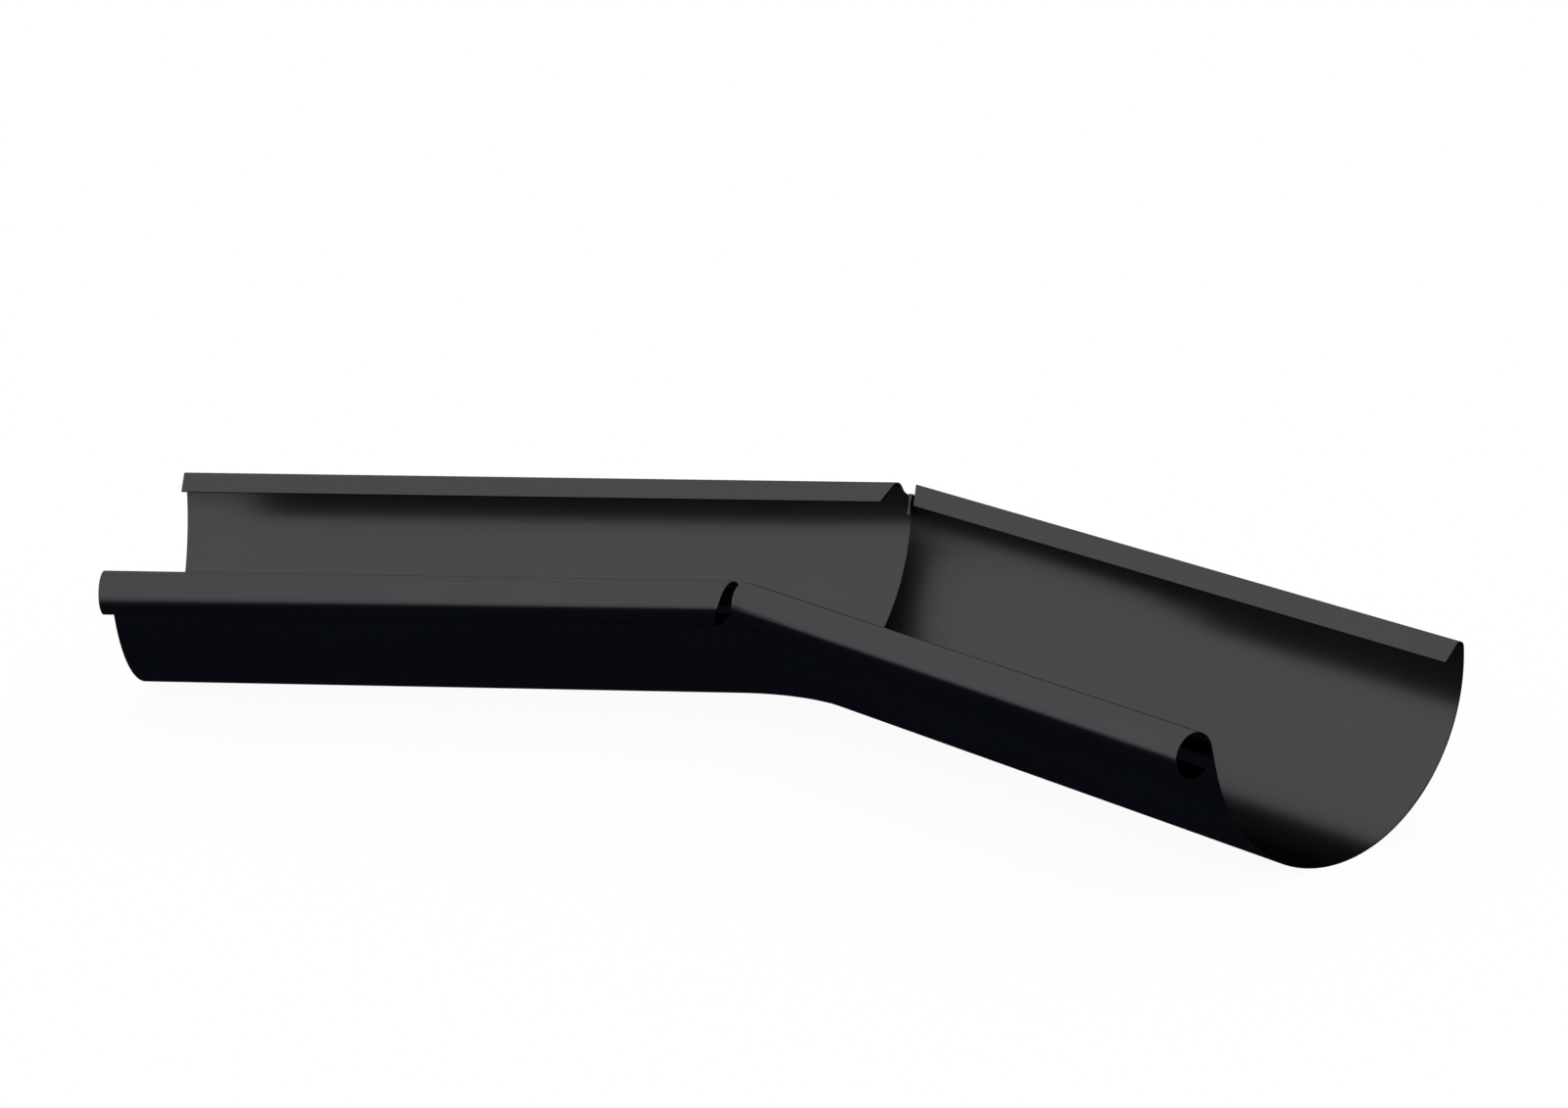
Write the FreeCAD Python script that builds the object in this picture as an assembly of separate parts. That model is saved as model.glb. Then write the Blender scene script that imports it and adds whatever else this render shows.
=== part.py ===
import FreeCAD, Part
import math
import os

# Internal angle for a half round gutter, folded from one sheet.
# Millimetres and degrees. The two arms run out to the right and to the left,
# both turned toward the front, which is -Y. The bead is at the front, on the
# inside of the turn, and the folded flange is at the back, on the outside.

# Sheet and trough
sheet = 0.6
trough_radius = 62.5
arm_length = 282.0
turn_angle = 45.0

# Front edge: where the round trough ends, the flat wall and the rolled bead
front_arc = 76.0
front_wall = 10.2
bead_radius = 8.7
bead_edge_gap = 3.5
bead_bend_radius = 7.8

# Back edge: where the round trough ends, the fold and the sloping flange
back_rise = 5.0
fold_radius = 2.4
flange_slope = 46.0
flange_length = 7.8

# Cuts at the corner
notch_half_width = 4.4
notch_depth = 6.0
notch_side_angle = 19.0
flange_end_angle = 20.4
bead_cut_left = 3.0
bead_cut_right = 1.45
bead_cut_arc = 36.0
bead_lip_turn = 28.0

# Tab folded over the bottom of the notch
tab_bend_radius = 0.1
tab_lean = 14.0
tab_length = 7.8
tab_root_width = 2.1
tab_waist_width = 0.7
tab_waist_share = 0.45
tab_end_width = 2.0

# Space that a cutting body takes past the sheet it cuts, and the share of the
# bead's radius and of its open angle that the bead's cutting body adds
clear = 3.0
rim_share = 0.1
edge_share = 0.2

# Sizes that follow from the ones above
outer_radius = trough_radius + sheet
half_turn = turn_angle / 2
turn_sin = math.sin(math.radians(half_turn))
turn_cos = math.cos(math.radians(half_turn))
bead_inner = bead_radius - sheet
up = FreeCAD.Vector(0, 0, 1)


def at_angle(centre, radius, angle):
    """Point of the section at an angle counted up from the front."""
    turned = math.radians(angle)
    front = centre[0] + radius * math.cos(turned)
    return (front, centre[1] + radius * math.sin(turned))


def along(start, angle, distance):
    """Point of the section reached in a straight line."""
    return at_angle(start, distance, angle)


def spot(point, x=0.0):
    """Section point, front distance and height, set in the plane at x."""
    return FreeCAD.Vector(x, -point[0], point[1] + outer_radius)


def line(start, end, x=0.0):
    return Part.LineSegment(spot(start, x), spot(end, x)).toShape()


def arc(centre, radius, first, last, x=0.0):
    """Arc of the section between two angles, in either direction."""
    ends = [at_angle(centre, radius, a) for a in (first, (first + last) / 2, last)]
    return Part.Arc(*[spot(p, x) for p in ends]).toShape()


def face_of(edges):
    wires = [Part.Wire(group) for group in Part.sortEdges(edges)]
    return Part.Face(wires[0])


# Section points, with the half circle's centre at zero
middle = (0.0, 0.0)
front_angle = front_arc - 90.0
back_angle = -180.0 - back_rise
wall_angle = front_arc
wall_foot_in = at_angle(middle, trough_radius, front_angle)
wall_foot_out = at_angle(middle, outer_radius, front_angle)
wall_head_in = along(wall_foot_in, wall_angle, front_wall)
wall_head_out = along(wall_foot_out, wall_angle, front_wall)
bead_centre = along(wall_head_in, front_angle, bead_radius)
bead_start = front_arc + 90.0
bead_open = math.degrees(math.acos((bead_inner - bead_edge_gap) / bead_radius))
bead_end = bead_start - 360.0 + bead_open
bead_front = bead_centre[0] + bead_radius

fold_centre = at_angle(middle, outer_radius - fold_radius, back_angle)
fold_inner = fold_radius - sheet
fold_start = 180.0 - back_rise
fold_end = 90.0 - flange_slope
fold_top = fold_centre[1] + fold_radius
flange_root_out = at_angle(fold_centre, fold_radius, fold_end)
flange_root_in = at_angle(fold_centre, fold_inner, fold_end)
flange_edge_out = along(flange_root_out, -flange_slope, flange_length)
flange_edge_in = along(flange_root_in, -flange_slope, flange_length)
floor_out = (0.0, -outer_radius)
floor_in = (0.0, -trough_radius)

# The bend's upright axis, and where each arm's straight run starts
bend_radius = bead_front + bead_bend_radius
bend_start = bend_radius * math.tan(math.radians(half_turn))
bend_axis = FreeCAD.Vector(0, -bend_radius / turn_cos, 0)


def back_edges(x):
    """Sheet behind the floor line: trough, fold and flange."""
    return [
        arc(middle, outer_radius, -90.0, back_angle, x),
        arc(fold_centre, fold_radius, fold_start, fold_end, x),
        line(flange_root_out, flange_edge_out, x),
        line(flange_edge_out, flange_edge_in, x),
        line(flange_edge_in, flange_root_in, x),
        arc(fold_centre, fold_inner, fold_end, fold_start, x),
        arc(middle, trough_radius, back_angle, -90.0, x),
    ]


def front_edges(x):
    """Sheet in front of the floor line: trough, flat wall and bead."""
    return [
        arc(middle, outer_radius, -90.0, front_angle, x),
        line(wall_foot_out, wall_head_out, x),
        arc(bead_centre, bead_inner, bead_start, bead_end, x),
        line(at_angle(bead_centre, bead_inner, bead_end),
             at_angle(bead_centre, bead_radius, bead_end), x),
        arc(bead_centre, bead_radius, bead_end, bead_start, x),
        line(wall_head_in, wall_foot_in, x),
        arc(middle, trough_radius, front_angle, -90.0, x),
    ]


def turned_right(shape):
    """Turns a shape made along X to the right arm's direction."""
    moved = shape.copy()
    moved.rotate(FreeCAD.Vector(0, 0, 0), up, -half_turn)
    return moved


def mirrored(shape):
    return shape.mirror(FreeCAD.Vector(0, 0, 0), FreeCAD.Vector(1, 0, 0))


def round_the_bend(face):
    """Turns a section face at the bend's start through the whole corner."""
    return turned_right(face).revolve(bend_axis, up, turn_angle)


# Straight run of each arm, whole section
whole_section = face_of(back_edges(bend_start) + front_edges(bend_start))
straight_run = FreeCAD.Vector(arm_length - bend_start, 0, 0)
right_arm = turned_right(whole_section.extrude(straight_run))

# Back half of the corner, two plain runs that meet on the mitre plane
mitre_start = -outer_radius * math.tan(math.radians(half_turn)) - clear
back_face = face_of(back_edges(mitre_start) + [line(floor_in, floor_out, mitre_start)])
back_run = back_face.extrude(FreeCAD.Vector(bend_start - mitre_start, 0, 0))
span = 2 * (bend_start + outer_radius)
right_side = Part.makeBox(span, 2 * span, 2 * span, FreeCAD.Vector(0, -span, -span))
right_back = turned_right(back_run).common(right_side)

# Front half of the corner, the section turned round the bend's axis
front_face = face_of(front_edges(bend_start) + [line(floor_in, floor_out, bend_start)])
front_bend = round_the_bend(front_face)

# Flat floor between the mitre, the two floor lines and the bend
floor_right = FreeCAD.Vector(bend_start * turn_cos, -bend_start * turn_sin, 0)
floor_left = FreeCAD.Vector(-floor_right.x, floor_right.y, 0)
floor_front = bend_axis + FreeCAD.Vector(0, bend_radius, 0)
floor_corner = FreeCAD.Vector(0, 0, 0)
floor_outline = Part.Wire([
    Part.LineSegment(floor_corner, floor_right).toShape(),
    Part.Arc(floor_right, floor_front, floor_left).toShape(),
    Part.LineSegment(floor_left, floor_corner).toShape(),
])
floor = Part.Face(floor_outline).extrude(up * sheet)

body = right_arm.fuse([right_back, mirrored(right_arm), mirrored(right_back), front_bend, floor])
body = body.removeSplitter()

# Notch through the back wall: sloping sides that run into a round bottom
side_sin = math.sin(math.radians(notch_side_angle))
side_cos = math.cos(math.radians(notch_side_angle))
notch_bottom = fold_top - notch_depth
notch_radius = (notch_half_width * side_cos - notch_depth * side_sin) / (1 - side_sin)
notch_middle = notch_bottom + notch_radius
touch = (notch_radius * side_cos, notch_middle - notch_radius * side_sin)
notch_top = fold_top + clear
top_half = notch_half_width + clear * side_sin / side_cos
fold_line_y = (-fold_centre[0] / turn_cos) - notch_half_width * turn_sin / turn_cos
back_y = outer_radius / turn_cos + clear


def notch_point(x, z):
    return FreeCAD.Vector(x, fold_line_y, z + outer_radius)


notch_wire = Part.Wire([
    Part.LineSegment(notch_point(-top_half, notch_top), notch_point(-touch[0], touch[1])).toShape(),
    Part.Arc(notch_point(-touch[0], touch[1]), notch_point(0, notch_bottom),
             notch_point(touch[0], touch[1])).toShape(),
    Part.LineSegment(notch_point(touch[0], touch[1]), notch_point(top_half, notch_top)).toShape(),
    Part.LineSegment(notch_point(top_half, notch_top), notch_point(-top_half, notch_top)).toShape(),
])
notch = Part.Face(notch_wire).extrude(FreeCAD.Vector(0, back_y - fold_line_y, 0))

# Slanted ends of the flanges, cut from above
flange_reach = flange_edge_out[0] - fold_centre[0] + clear
flange_front_y = fold_line_y - flange_reach / turn_cos
slant = math.tan(math.radians(flange_end_angle))
front_half = notch_half_width + (fold_line_y - flange_front_y) * slant
flange_low = flange_edge_in[1] - clear + outer_radius
flange_corners = [
    FreeCAD.Vector(-notch_half_width, fold_line_y, flange_low),
    FreeCAD.Vector(notch_half_width, fold_line_y, flange_low),
    FreeCAD.Vector(front_half, flange_front_y, flange_low),
    FreeCAD.Vector(-front_half, flange_front_y, flange_low),
]
flange_wire = Part.makePolygon(flange_corners + flange_corners[:1])
flange_cut_height = fold_top + clear + outer_radius - flange_low
flange_cut = Part.Face(flange_wire).extrude(up * flange_cut_height)

# Gap in the bead: all of the curl but the lip next to the wall
cut_radius = bead_radius * (1 + rim_share)
lip_angle = bead_start - bead_lip_turn
cut_end = bead_end - edge_share * bead_open


def curl_sector(x):
    """Slice of a disc about the bead's centre, from the lip round to the free edge."""
    rim_ends = [at_angle(bead_centre, cut_radius, a) for a in (lip_angle, cut_end)]
    return face_of([
        line(bead_centre, rim_ends[0], x),
        arc(bead_centre, cut_radius, lip_angle, cut_end, x),
        line(rim_ends[1], bead_centre, x),
    ])


sector = curl_sector(bend_start)
sector_run = turned_right(sector.extrude(FreeCAD.Vector(bead_front, 0, 0)))
curl = round_the_bend(sector).fuse([sector_run, mirrored(sector_run)])
bead_top = bead_centre[1] + bead_radius
cut_low = bead_centre[1] - cut_radius - clear
cut_high = bead_top + clear


def cut_side(offset, side):
    """Arc that stands upright at the bead's top and leans away lower down."""
    drop = bead_top - cut_low
    rise = cut_high - bead_top
    middle_x = side * (offset + bead_cut_arc)

    def side_x(fall):
        return middle_x - side * math.sqrt(bead_cut_arc ** 2 - fall ** 2)

    half = (drop - rise) / 2
    return [(side_x(-rise), cut_high), (side_x(half), bead_top - half), (side_x(drop), cut_low)]


def front_point(point):
    y = bend_axis.y - bend_radius
    return FreeCAD.Vector(point[0], y, point[1] + outer_radius)


left_side = [front_point(p) for p in cut_side(bead_cut_left, -1)]
right_cut = [front_point(p) for p in cut_side(bead_cut_right, 1)]
gap_wire = Part.Wire([
    Part.Arc(*left_side).toShape(),
    Part.LineSegment(left_side[2], right_cut[2]).toShape(),
    Part.Arc(*right_cut[::-1]).toShape(),
    Part.LineSegment(right_cut[0], left_side[0]).toShape(),
])
gap = Part.Face(gap_wire).extrude(FreeCAD.Vector(0, 2 * bend_radius, 0)).common(curl)

body = body.cut([notch, flange_cut, gap])

# Tab of the same sheet, bent over the notch's bottom and hanging into the trough
wall_y_in = trough_radius / turn_cos * math.cos(math.asin(notch_bottom / trough_radius))
tab_bend_y = wall_y_in - tab_bend_radius
tab_outer = tab_bend_radius + sheet
tab_turn = 180.0 - tab_lean
tab_widest = max(tab_root_width, tab_waist_width, tab_end_width)


def tab_point(radius, angle, run=0.0, x=0.0):
    """Point on the bend of the tab, or a run further along past its end."""
    turned = math.radians(angle)
    y = tab_bend_y + radius * math.cos(turned) - run * math.sin(turned)
    z = notch_bottom + outer_radius + radius * math.sin(turned) + run * math.cos(turned)
    return FreeCAD.Vector(x, y, z)


def tab_segment(first, last):
    return Part.LineSegment(first, last).toShape()


tab_root_depth = 2 * sheet
root_drop = FreeCAD.Vector(0, 0, -tab_root_depth)
tab_side = Part.Wire([
    tab_segment(tab_point(tab_bend_radius, 0) + root_drop, tab_point(tab_outer, 0) + root_drop),
    tab_segment(tab_point(tab_outer, 0) + root_drop, tab_point(tab_outer, 0)),
    Part.Arc(tab_point(tab_outer, 0), tab_point(tab_outer, tab_turn / 2),
             tab_point(tab_outer, tab_turn)).toShape(),
    tab_segment(tab_point(tab_outer, tab_turn), tab_point(tab_outer, tab_turn, tab_length)),
    tab_segment(tab_point(tab_outer, tab_turn, tab_length),
                tab_point(tab_bend_radius, tab_turn, tab_length)),
    tab_segment(tab_point(tab_bend_radius, tab_turn, tab_length),
                tab_point(tab_bend_radius, tab_turn)),
    Part.Arc(tab_point(tab_bend_radius, tab_turn), tab_point(tab_bend_radius, tab_turn / 2),
             tab_point(tab_bend_radius, 0)).toShape(),
    tab_segment(tab_point(tab_bend_radius, 0), tab_point(tab_bend_radius, 0) + root_drop),
])
tab_strip = Part.Face(tab_side).extrude(FreeCAD.Vector(tab_widest + clear, 0, 0))
tab_strip.translate(FreeCAD.Vector(-(tab_widest + clear) / 2, 0, 0))

tab_low = tab_point(tab_outer, tab_turn, tab_length).z - sheet
tab_high = notch_bottom + outer_radius + tab_outer
tab_front_y = tab_point(tab_outer, tab_turn, tab_length).y - clear


def tab_outline_side(side):
    """Curved side of the tab: wide at the fold, narrow below it, wide at its end."""
    waist = tab_high + tab_waist_share * (tab_low - tab_high)
    points = [(tab_root_width, tab_high), (tab_waist_width, waist), (tab_end_width, tab_low)]
    return [FreeCAD.Vector(side * w / 2, tab_front_y, z) for w, z in points]


tab_left = tab_outline_side(-1)
tab_right = tab_outline_side(1)
tab_wire = Part.Wire([
    Part.Arc(*tab_left).toShape(),
    tab_segment(tab_left[2], tab_right[2]),
    Part.Arc(*tab_right[::-1]).toShape(),
    tab_segment(tab_right[0], tab_left[0]),
])
tab_depth = tab_point(tab_outer, 0).y - tab_front_y
tab_block = Part.Face(tab_wire).extrude(FreeCAD.Vector(0, tab_depth, 0))
tab = tab_strip.common(tab_block)

body = body.fuse(tab).removeSplitter()

# Origin under the middle of the whole part
front_y = -arm_length * turn_sin - bead_front * turn_cos
rear_y = outer_radius / turn_cos
body.translate(FreeCAD.Vector(0, -(front_y + rear_y) / 2, 0))

angle = body.Solids[0]
os.makedirs("parts", exist_ok=True)
angle.exportStep("parts/gutter_angle.step")
box = angle.BoundBox
print("solids", len(body.Solids), "valid", angle.isValid(), "faces", len(angle.Faces))
print("box", box.XMin, box.XMax, box.YMin, box.YMax, box.ZMin, box.ZMax)
print("volume cm3", angle.Volume / 1000)
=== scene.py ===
import math

import bmesh
import bpy
from mathutils import Matrix, Vector


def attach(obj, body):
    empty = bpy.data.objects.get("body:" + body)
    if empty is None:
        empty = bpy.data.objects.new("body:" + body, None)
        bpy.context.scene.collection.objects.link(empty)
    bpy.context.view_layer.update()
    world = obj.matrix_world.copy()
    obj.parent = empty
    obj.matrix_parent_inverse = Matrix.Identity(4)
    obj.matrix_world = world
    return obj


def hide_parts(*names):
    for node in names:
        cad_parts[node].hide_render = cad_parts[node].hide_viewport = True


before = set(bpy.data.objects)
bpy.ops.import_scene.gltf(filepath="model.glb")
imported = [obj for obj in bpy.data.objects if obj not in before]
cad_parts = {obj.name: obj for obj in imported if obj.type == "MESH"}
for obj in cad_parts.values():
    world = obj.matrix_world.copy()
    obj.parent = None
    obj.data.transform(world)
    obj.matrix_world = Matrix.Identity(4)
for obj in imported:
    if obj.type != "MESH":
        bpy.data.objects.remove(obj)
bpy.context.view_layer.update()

# The gutter's sizes
# Metres and radians. Section points are (distance to the front, height), counted from
# the middle of the half round, and section angles count up from the front.
SHEET = 0.0006
TROUGH = 0.0625
ARM = 0.282
TURN = math.radians(45.0)
HALF_TURN = TURN / 2
FRONT_ARC = math.radians(76.0)
WALL = 0.0102
BEAD = 0.0087
BEAD_EDGE_GAP = 0.0035
BEAD_BEND = 0.0078
BACK_RISE = math.radians(5.0)
FOLD = 0.0024
FLANGE_SLOPE = math.radians(46.0)
FLANGE = 0.0078

NOTCH_HALF = 0.0044
NOTCH_DEPTH = 0.006
NOTCH_SIDE = math.radians(19.0)
FLANGE_END = math.radians(20.4)
BEAD_CUT_LEFT = 0.003
BEAD_CUT_RIGHT = 0.00145
BEAD_CUT_ARC = 0.036
BEAD_LIP = math.radians(28.0)
RIM_SHARE = 0.1
EDGE_SHARE = 0.2

TAB_BEND = 0.0001
TAB_LEAN = math.radians(14.0)
TAB_LENGTH = 0.0078
TAB_ROOT = 0.0021
TAB_WAIST = 0.0007
TAB_WAIST_SHARE = 0.45
TAB_END = 0.002

CLEAR = 0.003
OUTER = TROUGH + SHEET
QUARTER = math.pi / 2

# How finely the mesh follows its curves and runs
FLANGE_STEPS = 2
FOLD_STEPS = 20
BACK_STEPS = 60
FRONT_STEPS = 48
WALL_STEPS = 4
BEAD_STEPS = 72
ARM_STEPS = 12
BACK_CORNER_STEPS = 4
HALF_BEND_STEPS = 12
CURL_STEPS = 60
CUT_STEPS = 16
TAB_BEND_STEPS = 12
TAB_STEPS = 10

# Points nearer than TOUCH are one, points nearer to the mitre than ON_PLANE lie in it,
# edges shorter than SLIVER are left-overs of a cut, and bends above CREASE look sharp
TOUCH = 2e-6
ON_PLANE = 1e-7
SLIVER = 1e-6
CREASE = math.radians(32)


def on_arc(centre, radius, angle):
    """Section point at an angle on a circle."""
    return (centre[0] + radius * math.cos(angle), centre[1] + radius * math.sin(angle))


FRONT_END = FRONT_ARC - QUARTER
wall_foot = on_arc((0, 0), TROUGH, FRONT_END)
wall_head = on_arc(wall_foot, WALL, FRONT_ARC)
bead_middle = on_arc(wall_head, BEAD, FRONT_END)
BEAD_START = FRONT_ARC + QUARTER
BEAD_OPEN = math.acos((BEAD - SHEET - BEAD_EDGE_GAP) / BEAD)
BEAD_END = BEAD_START - 2 * math.pi + BEAD_OPEN
BEAD_FRONT = bead_middle[0] + BEAD

fold_middle = on_arc((0, 0), OUTER - FOLD, math.pi - BACK_RISE)
FOLD_INNER = FOLD - SHEET
FOLD_END = QUARTER - FLANGE_SLOPE
FOLD_TOP = fold_middle[1] + FOLD
flange_root = on_arc(fold_middle, FOLD_INNER, FOLD_END)
flange_edge = on_arc(flange_root, FLANGE, -FLANGE_SLOPE)

BEND = BEAD_FRONT + BEAD_BEND
BEND_START = BEND * math.tan(HALF_TURN)
BEND_AXIS_Y = -BEND / math.cos(HALF_TURN)
MITRE_START = -OUTER * math.tan(HALF_TURN) - CLEAR

# Where the notch's edge meets the fold's middle line, seen from above
NOTCH_Y = -fold_middle[0] / math.cos(HALF_TURN) - NOTCH_HALF * math.tan(HALF_TURN)

# The row's origin lies under the middle of the part's box
FRONT_REACH = ARM * math.sin(HALF_TURN) + BEAD_FRONT * math.cos(HALF_TURN)
BACK_REACH = OUTER / math.cos(HALF_TURN)
TO_ROW = Vector((0, (FRONT_REACH - BACK_REACH) / 2, OUTER))

# Drawing with bmesh


def spot(point, x):
    """Place of a section point in the plane at x."""
    return Vector((x, -point[0], point[1]))


def all_of(bm):
    return bm.verts[:] + bm.edges[:] + bm.faces[:]


def only_verts(made):
    """Vertices among the things an operator made."""
    return [g for g in made if isinstance(g, bmesh.types.BMVert)]


def draw_line(bm, tip, place):
    """Draws one line on from a tip to a place."""
    end = bmesh.ops.extrude_vert_indiv(bm, verts=[tip])["verts"][0]
    end.co = place
    return end


def draw_lines(bm, tip, places):
    """Draws lines on from a tip through places."""
    for place in places:
        tip = draw_line(bm, tip, place)
    return tip


def draw_arc(bm, tip, cent, axis, angle, steps):
    """Draws an arc on from a tip."""
    made = bmesh.ops.spin(bm, geom=[tip], cent=cent, axis=axis, angle=angle, steps=steps,
                          use_duplicate=False)
    return only_verts(made["geom_last"])[0]


def run_to(bm, tip, point, steps):
    """Straight stretch of the section from its tip to a point."""
    start = tip.co.copy()
    goal = spot(point, start.x)
    return draw_lines(bm, tip, [start.lerp(goal, (n + 1) / steps) for n in range(steps)])


def curl_round(bm, tip, middle, turn, steps):
    """Round stretch of the section: turn counts up from the front."""
    return draw_arc(bm, tip, spot(middle, tip.co.x), (1, 0, 0), -turn, steps)


def turn_right(bm):
    """Turns the section's plane from across the part to across the right arm."""
    bmesh.ops.rotate(bm, verts=bm.verts, cent=(0, 0, 0),
                     matrix=Matrix.Rotation(-HALF_TURN, 3, "Z"))


def sweep_straight(bm, edges, x_goal, steps):
    """Draws section edges out along X."""
    x_start = edges[0].verts[0].co.x
    for _ in range(steps):
        made = bmesh.ops.extrude_edge_only(bm, edges=edges)["geom"]
        verts = only_verts(made)
        bmesh.ops.translate(bm, verts=verts, vec=((x_goal - x_start) / steps, 0, 0))
        edges = [g for g in made if isinstance(g, bmesh.types.BMEdge)
                 and all(v in verts for v in g.verts)]


def sweep_bend(bm, angle, steps):
    """Turns all that is drawn round the bend's upright axis."""
    bmesh.ops.spin(bm, geom=all_of(bm), cent=(0, BEND_AXIS_Y, 0), axis=(0, 0, 1),
                   angle=angle, steps=steps, use_duplicate=False)


def merge_touching(bm):
    bmesh.ops.remove_doubles(bm, verts=bm.verts, dist=TOUCH)


def join_in(target, part):
    """Adds one bmesh to another."""
    mesh = bpy.data.meshes.new("part")
    part.to_mesh(mesh)
    part.free()
    target.from_mesh(mesh)
    bpy.data.meshes.remove(mesh)


def to_object(bm, name):
    mesh = bpy.data.meshes.new(name)
    bm.to_mesh(mesh)
    bm.free()
    obj = bpy.data.objects.new(name, mesh)
    bpy.context.scene.collection.objects.link(obj)
    return obj


# Trough side of the sheet


def back_section(bm, x):
    """From the flange's edge round the fold and down to the floor line."""
    tip = bm.verts.new(spot(flange_edge, x))
    tip = run_to(bm, tip, flange_root, FLANGE_STEPS)
    tip = curl_round(bm, tip, fold_middle, math.pi - BACK_RISE - FOLD_END, FOLD_STEPS)
    return curl_round(bm, tip, (0, 0), QUARTER + BACK_RISE, BACK_STEPS)


def front_section(bm, tip):
    """From the floor line up the wall and round the bead."""
    tip = curl_round(bm, tip, (0, 0), FRONT_ARC, FRONT_STEPS)
    tip = run_to(bm, tip, wall_head, WALL_STEPS)
    return curl_round(bm, tip, bead_middle, BEAD_END - BEAD_START, BEAD_STEPS)


def straight_arm():
    """Whole section from the bend out to the arm's end."""
    bm = bmesh.new()
    floor_tip = back_section(bm, BEND_START)
    front_section(bm, floor_tip)
    sweep_straight(bm, bm.edges[:], ARM, ARM_STEPS)
    turn_right(bm)
    return bm


def back_corner():
    """Back half of the section from the bend's start to the mitre."""
    bm = bmesh.new()
    back_section(bm, MITRE_START)
    sweep_straight(bm, bm.edges[:], BEND_START, BACK_CORNER_STEPS)
    turn_right(bm)
    bmesh.ops.bisect_plane(bm, geom=all_of(bm), dist=ON_PLANE, plane_co=(0, 0, 0),
                           plane_no=(-1, 0, 0), clear_outer=True)
    return bm


def front_corner():
    """Front half of the section turned round the bend's axis to the mitre."""
    bm = bmesh.new()
    tip = bm.verts.new(spot((0, -TROUGH), BEND_START))
    front_section(bm, tip)
    turn_right(bm)
    sweep_bend(bm, HALF_TURN, HALF_BEND_STEPS)
    return bm


def is_floor_rim(edge):
    """Edges round the open patch of floor, all at the trough's lowest line."""
    return edge.is_boundary and all(
        abs(v.co.z + TROUGH) < TOUCH and abs(v.co.x) < BEND_START for v in edge.verts)


def folded_sheet():
    """Both arms, with the flat floor at the corner."""
    bm = straight_arm()
    join_in(bm, back_corner())
    join_in(bm, front_corner())
    merge_touching(bm)
    bmesh.ops.mirror(bm, geom=all_of(bm), axis="X", merge_dist=TOUCH)
    merge_touching(bm)
    floor_rim = [e for e in bm.edges if is_floor_rim(e)]
    bmesh.ops.contextual_create(bm, geom=floor_rim)
    bmesh.ops.recalc_face_normals(bm, faces=bm.faces)
    lowest = min(bm.faces, key=lambda f: f.calc_center_median().z)
    if lowest.normal.z < 0:
        bmesh.ops.reverse_faces(bm, faces=bm.faces)
    return bm


# Cutting bodies


def draw_out(bm, start, tip, vec):
    """Closes an outline, fills it and draws it out into a closed body."""
    bm.edges.new((tip, start))
    face = bmesh.ops.contextual_create(bm, geom=bm.edges[:])["faces"][0]
    made = bmesh.ops.extrude_face_region(bm, geom=[face])["geom"]
    bmesh.ops.translate(bm, verts=only_verts(made), vec=vec)
    bmesh.ops.recalc_face_normals(bm, faces=bm.faces)


def notch_cutter():
    """V with a round bottom through the back wall at the mitre."""
    side_sin, side_cos = math.sin(NOTCH_SIDE), math.cos(NOTCH_SIDE)
    radius = (NOTCH_HALF * side_cos - NOTCH_DEPTH * side_sin) / (1 - side_sin)
    middle = FOLD_TOP - NOTCH_DEPTH + radius
    top = FOLD_TOP + CLEAR
    top_half = NOTCH_HALF + CLEAR * side_sin / side_cos
    bm = bmesh.new()
    start = bm.verts.new((top_half, NOTCH_Y, top))
    tip = draw_line(bm, start, (radius * side_cos, NOTCH_Y, middle - radius * side_sin))
    tip = draw_arc(bm, tip, (0, NOTCH_Y, middle), (0, 1, 0), math.pi - 2 * NOTCH_SIDE, CUT_STEPS)
    tip = draw_line(bm, tip, (-top_half, NOTCH_Y, top))
    draw_out(bm, start, tip, (0, BACK_REACH + CLEAR - NOTCH_Y, 0))
    return to_object(bm, "notch_cutter")


def flange_cutter():
    """Wedge, seen from above, that leaves the flanges' ends slanted."""
    reach = flange_edge[0] + SHEET - fold_middle[0] + CLEAR
    y_front = NOTCH_Y - reach / math.cos(HALF_TURN)
    front_half = NOTCH_HALF + (NOTCH_Y - y_front) * math.tan(FLANGE_END)
    low = flange_edge[1] - CLEAR
    bm = bmesh.new()
    start = bm.verts.new((-NOTCH_HALF, NOTCH_Y, low))
    tip = draw_lines(bm, start, [(NOTCH_HALF, NOTCH_Y, low), (front_half, y_front, low),
                                 (-front_half, y_front, low)])
    draw_out(bm, start, tip, (0, 0, FOLD_TOP + CLEAR - low))
    return to_object(bm, "flange_cutter")


def bead_cutter():
    """Body between two arcs, from in front of the bead to behind it."""
    bead_top = bead_middle[1] + BEAD
    above = math.asin(CLEAR / BEAD_CUT_ARC)
    below = math.asin((BEAD * (2 + RIM_SHARE) + CLEAR) / BEAD_CUT_ARC)
    y = BEND_AXIS_Y - BEND
    right = BEAD_CUT_RIGHT + BEAD_CUT_ARC
    left = -BEAD_CUT_LEFT - BEAD_CUT_ARC
    across = (0, 1, 0)
    bm = bmesh.new()
    start = bm.verts.new((right - BEAD_CUT_ARC * math.cos(above), y, bead_top + CLEAR))
    tip = draw_arc(bm, start, (right, y, bead_top), across, -above - below, CUT_STEPS)
    tip = draw_line(bm, tip, (left + BEAD_CUT_ARC * math.cos(below), y, tip.co.z))
    tip = draw_arc(bm, tip, (left, y, bead_top), across, -above - below, CUT_STEPS)
    draw_out(bm, start, tip, (0, 2 * BEND, 0))
    return to_object(bm, "bead_cutter")


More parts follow.
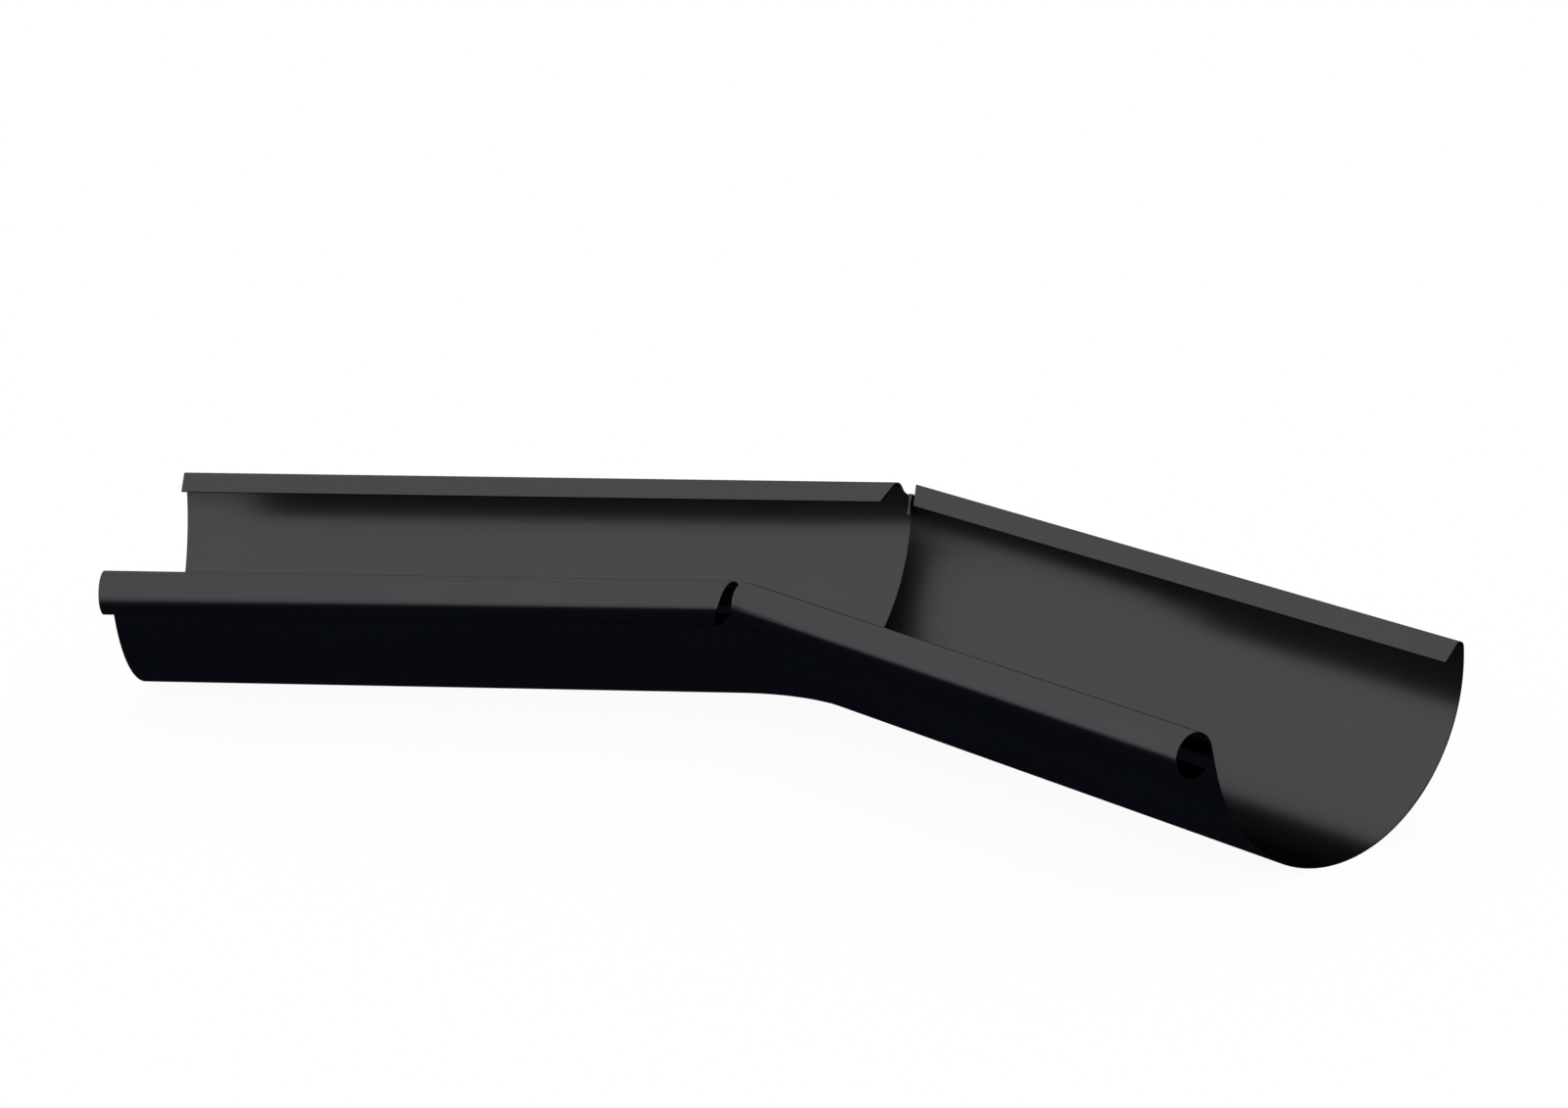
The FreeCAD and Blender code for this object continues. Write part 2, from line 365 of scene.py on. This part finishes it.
def curl_body():
    """Solid sweep of the curl beyond its lip, round the bend and along both arms."""
    radius = BEAD * (1 + RIM_SHARE)
    lip = BEAD_START - BEAD_LIP
    end = BEAD_END - EDGE_SHARE * BEAD_OPEN
    bm = bmesh.new()
    centre = bm.verts.new(spot(bead_middle, BEND_START))
    first = bm.verts.new(spot(on_arc(bead_middle, radius, lip), BEND_START))
    last = curl_round(bm, first, bead_middle, end - lip, CURL_STEPS)
    bm.edges.new((centre, first))
    bm.edges.new((last, centre))
    bmesh.ops.contextual_create(bm, geom=bm.edges[:])
    turn_right(bm)
    sweep_bend(bm, TURN, 2 * HALF_BEND_STEPS)
    # Only the two ends of the sweep have more than four corners
    ends = [f for f in bm.faces if len(f.verts) > 4]
    right = max(ends, key=lambda f: f.calc_center_median().x)
    left = min(ends, key=lambda f: f.calc_center_median().x)
    for face, side in ((right, 1), (left, -1)):
        made = bmesh.ops.extrude_face_region(bm, geom=[face])["geom"]
        run = Vector((side * math.cos(HALF_TURN), -math.sin(HALF_TURN), 0)) * BEAD_FRONT
        bmesh.ops.translate(bm, verts=only_verts(made), vec=run)
    inner = [f for f in (right, left) if f.is_valid]
    bmesh.ops.delete(bm, geom=inner, context="FACES_ONLY")
    bmesh.ops.recalc_face_normals(bm, faces=bm.faces)
    return to_object(bm, "curl_body")


# Tab


def tab_width(z, high, waist, low):
    """Width of the tab at a height: a smooth curve through three widths."""
    a = TAB_ROOT * (z - waist) * (z - low) / ((high - waist) * (high - low))
    b = TAB_WAIST * (z - high) * (z - low) / ((waist - high) * (waist - low))
    c = TAB_END * (z - high) * (z - waist) / ((low - high) * (low - waist))
    return a + b + c


def corner_tab():
    """Tab bent over the notch's bottom: wide at the fold, narrow below it, wide at its end."""
    bottom = FOLD_TOP - NOTCH_DEPTH
    wall_y = TROUGH / math.cos(HALF_TURN) * math.cos(math.asin(bottom / TROUGH))
    turn = math.pi - TAB_LEAN
    bm = bmesh.new()
    tip = bm.verts.new((0, wall_y, bottom - 2 * SHEET))
    tip = draw_line(bm, tip, (0, wall_y, bottom))
    tip = draw_arc(bm, tip, (0, wall_y - TAB_BEND, bottom), (1, 0, 0), turn, TAB_BEND_STEPS)
    start = tip.co.copy()
    run = Vector((0, -math.sin(turn), math.cos(turn))) * TAB_LENGTH
    draw_lines(bm, tip, [start + run * (n + 1) / TAB_STEPS for n in range(TAB_STEPS)])
    shifted = only_verts(bmesh.ops.extrude_edge_only(bm, edges=bm.edges[:])["geom"])
    high = bottom + TAB_BEND + SHEET
    low = start.z + run.z - SHEET
    waist = high + TAB_WAIST_SHARE * (low - high)
    for vert in bm.verts:
        side = 1 if vert in shifted else -1
        vert.co.x = side * tab_width(vert.co.z, high, waist, low) / 2
    bmesh.ops.recalc_face_normals(bm, faces=bm.faces)
    root = max(bm.faces, key=lambda f: f.calc_center_median().y)
    if root.normal.y < 0:
        bmesh.ops.reverse_faces(bm, faces=bm.faces)
    return to_object(bm, "corner_tab")


# The finished piece


def bake_shape(obj):
    """Applies an object's modifiers to its mesh."""
    graph = bpy.context.evaluated_depsgraph_get()
    shape = bpy.data.meshes.new_from_object(obj.evaluated_get(graph))
    obj.modifiers.clear()
    old = obj.data
    obj.data = shape
    bpy.data.meshes.remove(old)


def drop(obj):
    mesh = obj.data
    bpy.data.objects.remove(obj)
    bpy.data.meshes.remove(mesh)


def thicken(obj, offset):
    wall = obj.modifiers.new("wall", "SOLIDIFY")
    wall.thickness = SHEET
    wall.offset = offset
    wall.use_even_offset = True
    wall.use_quality_normals = True
    bake_shape(obj)


def combine(obj, other, operation):
    step = obj.modifiers.new(operation, "BOOLEAN")
    step.operation = operation
    step.solver = "MANIFOLD"
    step.object = other
    bake_shape(obj)
    drop(other)


def clear_seams(obj):
    """Takes out the hair-thin edges and idle points that the cuts leave along their lines."""
    bm = bmesh.new()
    bm.from_mesh(obj.data)
    bmesh.ops.dissolve_degenerate(bm, dist=SLIVER, edges=bm.edges)
    bmesh.ops.dissolve_verts(bm, verts=[v for v in bm.verts if len(v.link_edges) == 2])
    bm.to_mesh(obj.data)
    bm.free()


def shade(mesh):
    """Smooth over the curves, sharp at the sheet's edges and down the mitre."""
    for polygon in mesh.polygons:
        polygon.use_smooth = True
    mesh.set_sharp_from_angle(angle=CREASE)
    for edge in mesh.edges:
        # The mitre stays a sharp crease down to the floor, however shallow it gets
        if all(on_mitre(mesh.vertices[i].co) for i in edge.vertices):
            edge.use_edge_sharp = True


def on_mitre(point):
    return abs(point.x) < TOUCH and point.y > -TOUCH


sheet = to_object(folded_sheet(), "gutter_sheet")
thicken(sheet, -1)
gap = bead_cutter()
combine(gap, curl_body(), "INTERSECT")
for cutter in (notch_cutter(), flange_cutter(), gap):
    combine(sheet, cutter, "DIFFERENCE")
tab = corner_tab()
thicken(tab, 1)
combine(sheet, tab, "UNION")
clear_seams(sheet)
shade(sheet.data)
sheet.data.transform(Matrix.Translation(TO_ROW))

# Materials


def new_tree(name):
    """New material with an empty node tree and its output."""
    mat = bpy.data.materials.new(name)
    mat.use_nodes = True
    mat.node_tree.nodes.clear()
    return mat, mat.node_tree, mat.node_tree.nodes.new("ShaderNodeOutputMaterial")


def add(tree, kind, values=None):
    """New node with values set on its inputs."""
    made = tree.nodes.new(kind)
    for name, value in (values or {}).items():
        made.inputs[name].default_value = value
    return made


def noise(tree, place, scale, detail):
    """Noise over the object's own coordinates."""
    made = add(tree, "ShaderNodeTexNoise", {"Scale": scale, "Detail": detail})
    tree.links.new(place.outputs["Object"], made.inputs["Vector"])
    return made.outputs["Fac"]


def mapped(tree, source, low, high, to_low=0.0, to_high=1.0, curve="LINEAR"):
    """Takes a value from one range to another."""
    made = add(tree, "ShaderNodeMapRange", {"From Min": low, "From Max": high,
                                            "To Min": to_low, "To Max": to_high})
    made.interpolation_type = curve
    tree.links.new(source, made.inputs["Value"])
    return made.outputs["Result"]


def ramp(tree, source, low, high, low_at=0.0, high_at=1.0):
    """Takes a value to a colour between two."""
    made = add(tree, "ShaderNodeValToRGB")
    for stop, place, colour in zip(made.color_ramp.elements, (low_at, high_at), (low, high)):
        stop.position = place
        stop.color = colour
    tree.links.new(source, made.inputs["Fac"])
    return made.outputs["Color"]


def mixed(tree, first, second):
    """Mix of two shaders."""
    made = add(tree, "ShaderNodeMixShader")
    tree.links.new(first.outputs[0], made.inputs[1])
    tree.links.new(second.outputs[0], made.inputs[2])
    return made


# Where the coat's cloud noise and its face-on share change from one end to the other
CLOUD_LOW, CLOUD_HIGH = 0.3, 0.7
EDGE_ON_LOW, EDGE_ON_HIGH = 0.35, 0.6
COAT_DARK = (0.0632, 0.0650, 0.0668, 1)
COAT_PALE = (0.0664, 0.0682, 0.0702, 1)
COAT_EDGE_TINT = (0.46, 0.46, 0.46, 1)
COAT_ROUGH_LOW, COAT_ROUGH_HIGH = 0.19, 0.21
CLOUD_SCALE, CLOUD_DETAIL = 14.0, 4.0
GRAIN_SCALE, GRAIN_DETAIL = 900.0, 2.0
PEEL_STRENGTH, PEEL_DEPTH = 0.15, 0.00002


def coated_sheet():
    """Dark satin coat on folded sheet metal."""
    mat, tree, out = new_tree("dark_satin_coat")
    coat = add(tree, "ShaderNodeBsdfPrincipled",
               {"Metallic": 1.0, "Specular Tint": COAT_EDGE_TINT})
    # Seen edge on, the coat mirrors no more than it does face on
    even = add(tree, "ShaderNodeBsdfAnisotropic")
    edge_on = add(tree, "ShaderNodeLayerWeight", {"Blend": 0.5})
    both = mixed(tree, coat, even)
    share = mapped(tree, edge_on.outputs["Facing"], EDGE_ON_LOW, EDGE_ON_HIGH)
    tree.links.new(share, both.inputs["Fac"])
    tree.links.new(both.outputs[0], out.inputs["Surface"])

    place = add(tree, "ShaderNodeTexCoord")
    cloud = noise(tree, place, CLOUD_SCALE, CLOUD_DETAIL)
    tone = ramp(tree, cloud, COAT_DARK, COAT_PALE, CLOUD_LOW, CLOUD_HIGH)
    satin = mapped(tree, cloud, CLOUD_LOW, CLOUD_HIGH, COAT_ROUGH_LOW, COAT_ROUGH_HIGH)
    grain = noise(tree, place, GRAIN_SCALE, GRAIN_DETAIL)
    peel = add(tree, "ShaderNodeBump", {"Strength": PEEL_STRENGTH, "Distance": PEEL_DEPTH})
    tree.links.new(grain, peel.inputs["Height"])
    for layer, colour in ((coat, "Base Color"), (even, "Color")):
        tree.links.new(tone, layer.inputs[colour])
        tree.links.new(satin, layer.inputs["Roughness"])
        tree.links.new(peel.outputs["Normal"], layer.inputs["Normal"])
    return mat


sheet.data.materials.clear()
sheet.data.materials.append(coated_sheet())
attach(sheet, "root")
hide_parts("gutter_angle")

# Floor and light

WHITE = (1, 1, 1, 1)
FLOOR_SIZE, FLOOR_SIDES = 14.0, 96
# Share of the floor's light to the camera that the object can shade
SHADED_SHARE = 0.05
# The floor as the sheet mirrors it, painted light and shade: level direction of the camera's
# side, how far that way and how far all round the painted shade beside the object gives way to a
# pale painted glow, and both colours
CAMERA_SIDE = (-0.108, -0.994, 0.0)
FRONT_FROM, FRONT_TO = 0.181, 0.357
FAR_FROM, FAR_TO = 1.2, 2.0
MIRRORED_PAINTED_SHADE = (0.036, 0.045, 0.072, 1)
MIRRORED_PAINTED_GLOW = (0.84, 0.85, 0.86, 1)


def floor_material():
    """White to the camera with the object's soft shadow. The sheet mirrors it as a painted shade
    beside the object, as in the photograph, and as a pale painted glow in front and farther off."""
    mat, tree, out = new_tree("pale_floor")
    glow = add(tree, "ShaderNodeEmission", {"Color": WHITE, "Strength": 1.0})
    pale = add(tree, "ShaderNodeBsdfDiffuse", {"Color": WHITE})
    lit = mixed(tree, glow, pale)
    lit.inputs["Fac"].default_value = SHADED_SHARE

    place = add(tree, "ShaderNodeTexCoord")
    ahead_of = add(tree, "ShaderNodeVectorMath", {1: CAMERA_SIDE})
    ahead_of.operation = "DOT_PRODUCT"
    off = add(tree, "ShaderNodeVectorMath")
    off.operation = "LENGTH"
    for measure in (ahead_of, off):
        tree.links.new(place.outputs["Object"], measure.inputs[0])
    # Where the painted shade beside the object gives way to the pale painted glow
    front = mapped(tree, ahead_of.outputs["Value"], FRONT_FROM, FRONT_TO, curve="SMOOTHSTEP")
    far = mapped(tree, off.outputs["Value"], FAR_FROM, FAR_TO, curve="SMOOTHSTEP")
    painted_glow_share = add(tree, "ShaderNodeMath")
    painted_glow_share.operation = "MAXIMUM"
    tree.links.new(front, painted_glow_share.inputs[0])
    tree.links.new(far, painted_glow_share.inputs[1])
    # Painted shade beside the object and a pale painted glow farther off, seen only in the
    # sheet's reflections
    painted_mirror_tone = ramp(tree, painted_glow_share.outputs["Value"], MIRRORED_PAINTED_SHADE, MIRRORED_PAINTED_GLOW)
    painted_mirror_glow = add(tree, "ShaderNodeEmission")
    tree.links.new(painted_mirror_tone, painted_mirror_glow.inputs["Color"])

    seen = mixed(tree, painted_mirror_glow, lit)
    path = add(tree, "ShaderNodeLightPath")
    tree.links.new(path.outputs["Is Camera Ray"], seen.inputs["Fac"])
    tree.links.new(seen.outputs[0], out.inputs["Surface"])
    return mat


floor_bm = bmesh.new()
bmesh.ops.create_circle(floor_bm, cap_ends=True, segments=FLOOR_SIDES, radius=FLOOR_SIZE)
floor = to_object(floor_bm, "studio_floor")
floor.data.materials.append(floor_material())

world = bpy.data.worlds.new("studio")
bpy.context.scene.world = world
world.use_nodes = True
background = world.node_tree.nodes["Background"]
background.inputs["Color"].default_value = WHITE
background.inputs["Strength"].default_value = 1.0

# Camera
CAMERA_AT = Vector((0.785907, -1.397191, 0.513078))
YAW = math.radians(-29.096)
PITCH = math.radians(-15.4371)
ROLL = math.radians(-0.8638)
LENS = 97.752
SENSOR_WIDTH = 36.0
CLIP_START, CLIP_END = 0.05, 60.0

ahead = Vector((math.sin(YAW) * math.cos(PITCH),
                math.cos(YAW) * math.cos(PITCH),
                math.sin(PITCH)))
level = Vector((math.cos(YAW), -math.sin(YAW), 0))
above = level.cross(ahead)
right = level * math.cos(ROLL) + above * math.sin(ROLL)
top = above * math.cos(ROLL) - level * math.sin(ROLL)
lens = bpy.data.cameras.new("camera")
lens.lens = LENS
lens.sensor_width = SENSOR_WIDTH
lens.sensor_fit = "HORIZONTAL"
lens.clip_start = CLIP_START
lens.clip_end = CLIP_END
camera = bpy.data.objects.new("camera", lens)
bpy.context.scene.collection.objects.link(camera)
turned = Matrix((right, top, -ahead)).transposed().to_4x4()
camera.matrix_world = Matrix.Translation(CAMERA_AT) @ turned
bpy.context.scene.camera = camera

bpy.context.scene.view_settings.view_transform = "Standard"
